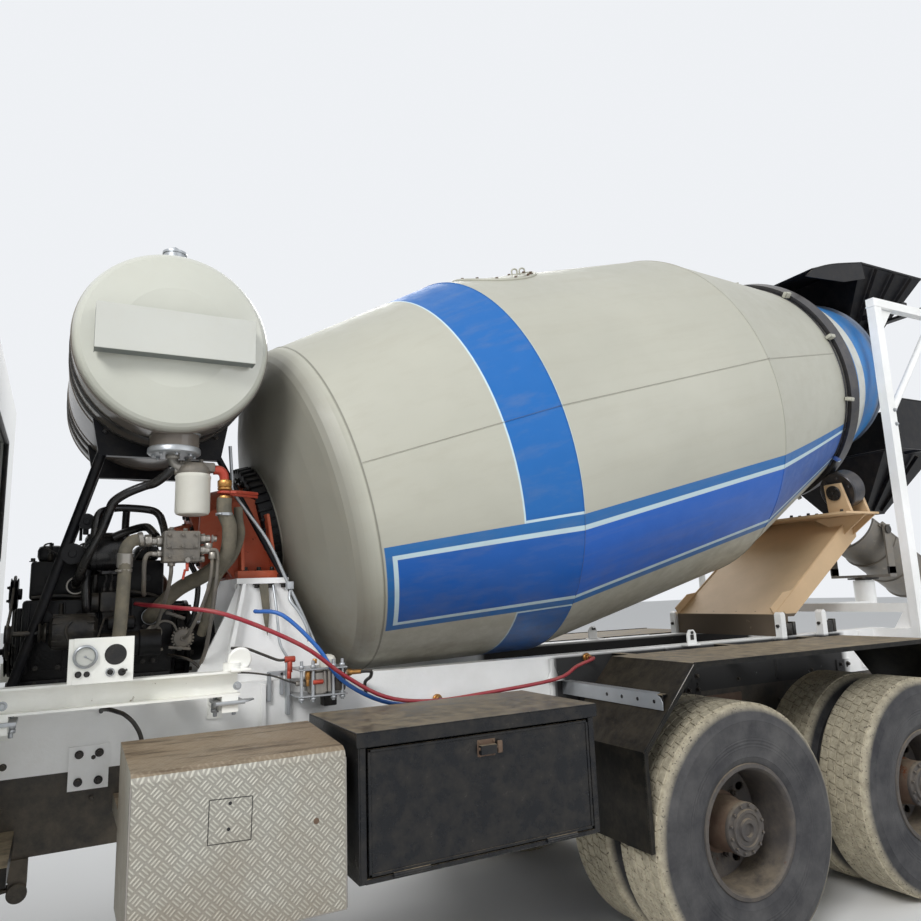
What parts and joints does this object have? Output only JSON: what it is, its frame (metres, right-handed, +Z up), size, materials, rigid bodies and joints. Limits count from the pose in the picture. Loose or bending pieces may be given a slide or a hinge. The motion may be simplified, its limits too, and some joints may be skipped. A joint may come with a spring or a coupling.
{
  "type": "concrete mixer truck",
  "caption": "Three-axle forward-control truck with an inclined rotating drum, its own open drive engine, a water tank, a loading hopper and a discharge chute.",
  "frame": {"origin": "on the ground under the middle of the whole vehicle", "axes": "the truck faces -X, +X runs to the rear, its left side is -Y, +Z is up"},
  "size_m": [8.4, 2.84, 3.99],
  "materials": {
    "white_paint": "semi-gloss paint, dusty",
    "drum_paint": "semi-gloss paint, dusty",
    "blue_paint": "semi-gloss paint",
    "grey_steel": "dull, dirty",
    "black_steel": "satin, dusty",
    "tread_plate": "worn, dirty",
    "orange_paint": "dull",
    "tan_paint": "dusty",
    "cream_paint": "satin",
    "hose_rubber": "dull",
    "glass": "clear",
    "cab_trim": "matte",
    "red_plastic": "satin",
    "blue_plastic": "satin",
    "tyre_rubber": "dusty"
  },
  "bodies": {
    "chassis": {"chassis_frame": "grey_steel", "subframe": "white_paint", "front_bumper": "white_paint", "engine_block": "grey_steel", "front_axle": "grey_steel", "front_mudguards": "black_steel", "rear_axles": "grey_steel", "rear_suspension": "grey_steel", "prop_shafts": "grey_steel", "rear_fenders": "black_steel", "tread_plate_cover": "tread_plate", "tool_box": "black_steel", "fuel_tank": "tread_plate", "air_tanks": "grey_steel", "front_pedestal": "white_paint", "drum_gearbox": "orange_paint", "rear_pedestal": "tan_paint", "deck_engine": "black_steel", "engine_frame": "cream_paint", "hydraulic_pipes": "hose_rubber", "oil_filter": "white_paint", "water_tank": "white_paint", "tank_stand": "grey_steel", "sign_board": "white_paint", "air_valves": "grey_steel", "rear_posts": "white_paint", "loading_hopper": "black_steel", "discharge_collector": "black_steel", "ladder": "white_paint", "tail_bar": "grey_steel", "red_hose": "red_plastic", "blue_hose": "blue_plastic"},
    "cab": {"cab_floor": "white_paint", "cab_walls": "white_paint", "cab_roof": "white_paint", "cab_glass": "glass", "cab_mirrors": "black_steel", "cab_inside": "cab_trim"},
    "left_door": {"door_left": "white_paint"},
    "right_door": {"door_right": "white_paint"},
    "drum": {"drum_head": "drum_paint", "drum_front_cone": "drum_paint", "drum_barrel": "drum_paint", "drum_rear_cone": "drum_paint", "drum_neck": "blue_paint", "drum_ring": "grey_steel", "drum_blades": "grey_steel"},
    "left_roller": {"roller_left": "grey_steel"},
    "right_roller": {"roller_right": "grey_steel"},
    "chute_swivel": {"chute_swivel": "black_steel"},
    "chute": {"chute": "black_steel"},
    "tool_box_door": {"tool_box_door": "black_steel"},
    "left_knuckle": {"knuckle_left": "grey_steel"},
    "right_knuckle": {"knuckle_right": "grey_steel"},
    "front_left_wheel": {"front_wheel_left": "tyre_rubber"},
    "front_right_wheel": {"front_wheel_right": "tyre_rubber"},
    "rear_1_left_wheels": {"twin_wheel_1_left": "tyre_rubber"},
    "rear_1_right_wheels": {"twin_wheel_1_right": "tyre_rubber"},
    "rear_2_left_wheels": {"twin_wheel_2_left": "tyre_rubber"},
    "rear_2_right_wheels": {"twin_wheel_2_right": "tyre_rubber"}
  },
  "joints": [
    {"name": "cab_tilt", "type": "hinge", "parent": "chassis", "child": "cab", "pos_m": [-4.02, 0, 1.01], "axis": [0, -1, 0], "range_deg": [0, 50]},
    {"name": "left_door_swing", "type": "hinge", "parent": "cab", "child": "left_door", "pos_m": [-3.95, -1.23, 1.9], "axis": [0, 0, -1], "range_deg": [0, 70]},
    {"name": "right_door_swing", "type": "hinge", "parent": "cab", "child": "right_door", "pos_m": [-3.95, 1.23, 1.9], "axis": [0, 0, 1], "range_deg": [0, 70]},
    {"name": "drum_spin", "type": "hinge", "parent": "chassis", "child": "drum", "pos_m": [-0.916, 0, 2.11], "axis": [0.9644, 0, 0.2644], "continuous": true},
    {"name": "left_roller_spin", "type": "hinge", "parent": "chassis", "child": "left_roller", "pos_m": [2.70956, -0.50676, 2.26297], "axis": [0.9644, 0, 0.2644], "continuous": true},
    {"name": "right_roller_spin", "type": "hinge", "parent": "chassis", "child": "right_roller", "pos_m": [2.70956, 0.50676, 2.26297], "axis": [0.9644, 0, 0.2644], "continuous": true},
    {"name": "chute_swing", "type": "hinge", "parent": "chassis", "child": "chute_swivel", "pos_m": [3.56, 0, 1.64], "axis": [0, 0, 1], "range_deg": [-100, 100]},
    {"name": "chute_lift", "type": "hinge", "parent": "chute_swivel", "child": "chute", "pos_m": [3.56, 0, 2.02], "axis": [0, 1, 0], "range_deg": [-20, 10]},
    {"name": "tool_box_door_drop", "type": "hinge", "parent": "chassis", "child": "tool_box_door", "pos_m": [-0.6015, -1.23, 0.716], "axis": [1, 0, 0], "range_deg": [0, 100]},
    {"name": "steer_left", "type": "hinge", "parent": "chassis", "child": "left_knuckle", "pos_m": [-2.85, -0.89, 0.555], "axis": [0, 0, 1], "range_deg": [-38, 38]},
    {"name": "front_left_wheel_spin", "type": "hinge", "parent": "left_knuckle", "child": "front_left_wheel", "pos_m": [-2.85, -1.04, 0.555], "axis": [0, 1, 0], "continuous": true},
    {"name": "steer_right", "type": "hinge", "parent": "chassis", "child": "right_knuckle", "pos_m": [-2.85, 0.89, 0.555], "axis": [0, 0, 1], "range_deg": [-38, 38]},
    {"name": "front_right_wheel_spin", "type": "hinge", "parent": "right_knuckle", "child": "front_right_wheel", "pos_m": [-2.85, 1.04, 0.555], "axis": [0, 1, 0], "continuous": true},
    {"name": "rear_1_left_wheel_spin", "type": "hinge", "parent": "chassis", "child": "rear_1_left_wheels", "pos_m": [0.76, -1.078, 0.555], "axis": [0, 1, 0], "continuous": true},
    {"name": "rear_1_right_wheel_spin", "type": "hinge", "parent": "chassis", "child": "rear_1_right_wheels", "pos_m": [0.76, 1.078, 0.555], "axis": [0, 1, 0], "continuous": true},
    {"name": "rear_2_left_wheel_spin", "type": "hinge", "parent": "chassis", "child": "rear_2_left_wheels", "pos_m": [2.11, -1.078, 0.555], "axis": [0, 1, 0], "continuous": true},
    {"name": "rear_2_right_wheel_spin", "type": "hinge", "parent": "chassis", "child": "rear_2_right_wheels", "pos_m": [2.11, 1.078, 0.555], "axis": [0, 1, 0], "continuous": true}
  ],
  "couplings": [
    {"joint": "left_roller_spin", "follows": "drum_spin", "ratio": -6.3538},
    {"joint": "right_roller_spin", "follows": "drum_spin", "ratio": -6.3538},
    {"joint": "steer_right", "follows": "steer_left", "ratio": 1}
  ]
}
